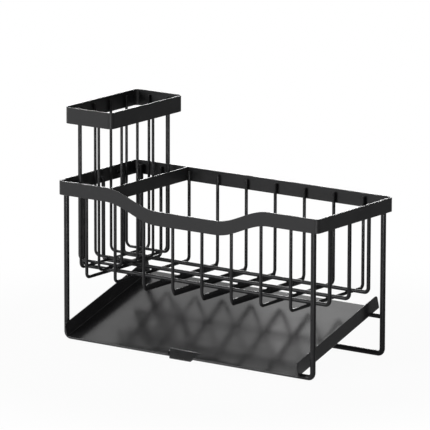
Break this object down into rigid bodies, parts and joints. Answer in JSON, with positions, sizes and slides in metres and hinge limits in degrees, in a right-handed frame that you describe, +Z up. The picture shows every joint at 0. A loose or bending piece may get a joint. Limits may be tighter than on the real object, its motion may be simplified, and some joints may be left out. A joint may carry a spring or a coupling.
{
  "type": "sink organizer",
  "caption": "Black wire sink rack with a flat rim band that dips at the front, a taller lift-out brush basket at its left end and a sloped drip tray with a front spout that slides out.",
  "frame": {"origin": "middle of the whole, on the surface that it stands on", "axes": "+X along the front from left to right, +Y from the front to the back, +Z up"},
  "size_m": [0.29, 0.1326, 0.2174],
  "materials": {
    "strip_coat": "satin black powder coat on steel strip",
    "wire_coat": "satin black powder coat on steel wire",
    "tray_coat": "semi-gloss black coat on steel sheet"
  },
  "bodies": {
    "rack": {"rim_band": "strip_coat", "compartment_divider": "strip_coat", "front_leg_frame": "wire_coat", "rear_leg_frame": "wire_coat", "tray_crossbar": "wire_coat", "cross_wire_1": "wire_coat", "cross_wire_2": "wire_coat", "cross_wire_3": "wire_coat", "cross_wire_4": "wire_coat", "cross_wire_5": "wire_coat", "cross_wire_6": "wire_coat", "cross_wire_7": "wire_coat", "cross_wire_8": "wire_coat", "long_wire_front": "wire_coat", "long_wire_middle": "wire_coat", "long_wire_rear": "wire_coat"},
    "brush_holder": {"holder_band": "strip_coat", "holder_cross_wire_1": "wire_coat", "holder_cross_wire_2": "wire_coat", "holder_side_wire_1": "wire_coat", "holder_side_wire_2": "wire_coat", "holder_side_wire_3": "wire_coat", "holder_side_wire_4": "wire_coat"},
    "drip_tray": {"drip_tray": "tray_coat"}
  },
  "joints": [
    {"name": "brush_holder_lift", "type": "slide", "parent": "rack", "child": "brush_holder", "axis": [0, 0, 1], "range_m": [0, 0.085]},
    {"name": "drip_tray_slide", "type": "slide", "parent": "rack", "child": "drip_tray", "axis": [0, -1, 0], "range_m": [0, 0.13]}
  ]
}
